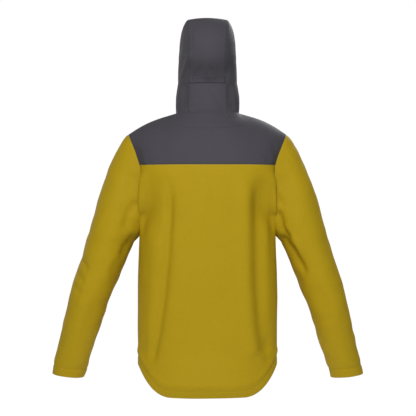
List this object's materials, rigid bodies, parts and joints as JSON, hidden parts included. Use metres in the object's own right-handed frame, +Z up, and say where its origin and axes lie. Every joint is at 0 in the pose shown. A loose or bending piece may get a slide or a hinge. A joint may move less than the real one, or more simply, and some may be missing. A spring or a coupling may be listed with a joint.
{
  "type": "hooded shell jacket",
  "caption": "Hooded waterproof shell jacket with a contrast yoke and hood, full front zip, hand pockets, curved hem and long sleeves.",
  "frame": {"origin": "on the outside of the neck seam at the middle of the back, where the hood is sewn to the yoke and the hang loop sits just inside", "axes": "+X towards the wearer's left sleeve, +Y out of the jacket's back, +Z up"},
  "size_m": [0.8806, 0.2975, 1.036],
  "materials": {
    "shell": "woven face, soft sheen",
    "yoke": "woven face, soft sheen",
    "lining": "smooth matt knit backer",
    "tape": "woven tape, matt",
    "teeth": "moulded, satin",
    "slider": "satin lacquer",
    "grip": "moulded, satin"
  },
  "bodies": {
    "back": {"back_panel": "shell", "back_yoke": "yoke", "hem_facing_back": "lining", "yoke_seam_tape": "tape", "neck_tape": "tape", "hang_loop": "tape", "hood_lower": "yoke", "sleeve_cap_left": "shell", "sleeve_cap_right": "shell"},
    "front_left": {"front_yoke_left": "yoke", "front_panel_left": "shell", "chin_panel_left": "yoke", "chin_guard": "lining", "zip_teeth_left": "teeth", "zip_stop_left": "slider", "zip_pin": "slider", "zip_tape_left": "tape", "storm_flap": "lining", "hem_facing_front_left": "lining", "pocket_zip_left": "tape", "pocket_bag_left": "lining"},
    "front_right": {"front_yoke_right": "yoke", "front_panel_right": "shell", "chin_panel_right": "yoke", "zip_teeth_right": "teeth", "zip_stop_right": "slider", "zip_box": "grip", "zip_tape_right": "tape", "hem_facing_front_right": "lining", "pocket_zip_right": "tape", "pocket_bag_right": "lining"},
    "hood": {"hood_centre_panel": "yoke", "hood_side_left": "yoke", "hood_side_right": "yoke", "hood_peak": "yoke", "hood_rear_casing": "yoke", "hood_rear_elastic": "tape", "hood_edge_facing": "lining"},
    "arm_left": {"sleeve_upper_left": "shell"},
    "forearm_left": {"sleeve_elbow_left": "shell", "sleeve_lower_left": "shell", "cuff_facing_left": "lining"},
    "arm_right": {"sleeve_upper_right": "shell"},
    "forearm_right": {"sleeve_elbow_right": "shell", "sleeve_lower_right": "shell", "cuff_facing_right": "lining"},
    "zip_slider": {"zip_slider": "slider"},
    "zip_pull": {"zip_pull": "slider", "zip_pull_grip": "grip"},
    "pocket_slider_left": {"pocket_slider_left": "slider"},
    "pocket_pull_left": {"pocket_left_pull": "slider"},
    "pocket_slider_right": {"pocket_slider_right": "slider"},
    "pocket_pull_right": {"pocket_right_pull": "slider"}
  },
  "joints": [
    {"name": "shoulder_left", "type": "hinge", "parent": "back", "child": "arm_left", "pos_m": [0.1895, -0.076, -0.1685], "axis": [0, -1, 0], "range_deg": [0, 60], "deforming": ["sleeve_cap_left"]},
    {"name": "elbow_left", "type": "hinge", "parent": "arm_left", "child": "forearm_left", "pos_m": [0.3302, -0.0857, -0.5105], "axis": [-0.9404, 0, -0.3401], "range_deg": [0, 75], "deforming": ["sleeve_elbow_left"]},
    {"name": "front_left_open", "type": "hinge", "parent": "back", "child": "front_left", "pos_m": [0.219, -0.076, 0], "axis": [0, 0, 1], "range_deg": [0, 25]},
    {"name": "pocket_zip_left_slide", "type": "slide", "parent": "front_left", "child": "pocket_slider_left", "axis": [-0.0074, -0.0515, -0.9986], "range_m": [0, 0.136]},
    {"name": "pocket_pull_left_swing", "type": "hinge", "parent": "pocket_slider_left", "child": "pocket_pull_left", "pos_m": [0.14177, -0.18188, -0.39502], "axis": [-0.8423, -0.5379, 0.034], "range_deg": [0, 120]},
    {"name": "shoulder_right", "type": "hinge", "parent": "back", "child": "arm_right", "pos_m": [-0.1895, -0.076, -0.1685], "axis": [0, 1, 0], "range_deg": [0, 60], "deforming": ["sleeve_cap_right"]},
    {"name": "elbow_right", "type": "hinge", "parent": "arm_right", "child": "forearm_right", "pos_m": [-0.3302, -0.0857, -0.5105], "axis": [-0.9404, 0, 0.3401], "range_deg": [0, 75], "deforming": ["sleeve_elbow_right"]},
    {"name": "front_right_open", "type": "hinge", "parent": "back", "child": "front_right", "pos_m": [-0.219, -0.076, 0], "axis": [0, 0, -1], "range_deg": [0, 25]},
    {"name": "pocket_zip_right_slide", "type": "slide", "parent": "front_right", "child": "pocket_slider_right", "axis": [0.0074, -0.0515, -0.9986], "range_m": [0, 0.136]},
    {"name": "pocket_pull_right_swing", "type": "hinge", "parent": "pocket_slider_right", "child": "pocket_pull_right", "pos_m": [-0.14177, -0.18188, -0.39502], "axis": [-0.8423, 0.5379, -0.034], "range_deg": [0, 120]},
    {"name": "hood_fold", "type": "hinge", "parent": "back", "child": "hood", "pos_m": [0, 0, 0.082], "axis": [-1, 0, 0], "range_deg": [0, 70], "deforming": ["hood_lower"]},
    {"name": "main_zip_slide", "type": "slide", "parent": "front_left", "child": "zip_slider", "axis": [0, -0.0678, -0.9977], "range_m": [0, 0.69]},
    {"name": "zip_pull_swing", "type": "hinge", "parent": "zip_slider", "child": "zip_pull", "pos_m": [0, -0.17772, 0.01006], "axis": [-1, 0, 0], "range_deg": [0, 140]}
  ],
  "couplings": [
    {"joint": "front_right_open", "follows": "front_left_open", "ratio": 1},
    {"joint": "main_zip_slide", "follows": "front_left_open", "m_per_rad": 1.5813}
  ]
}
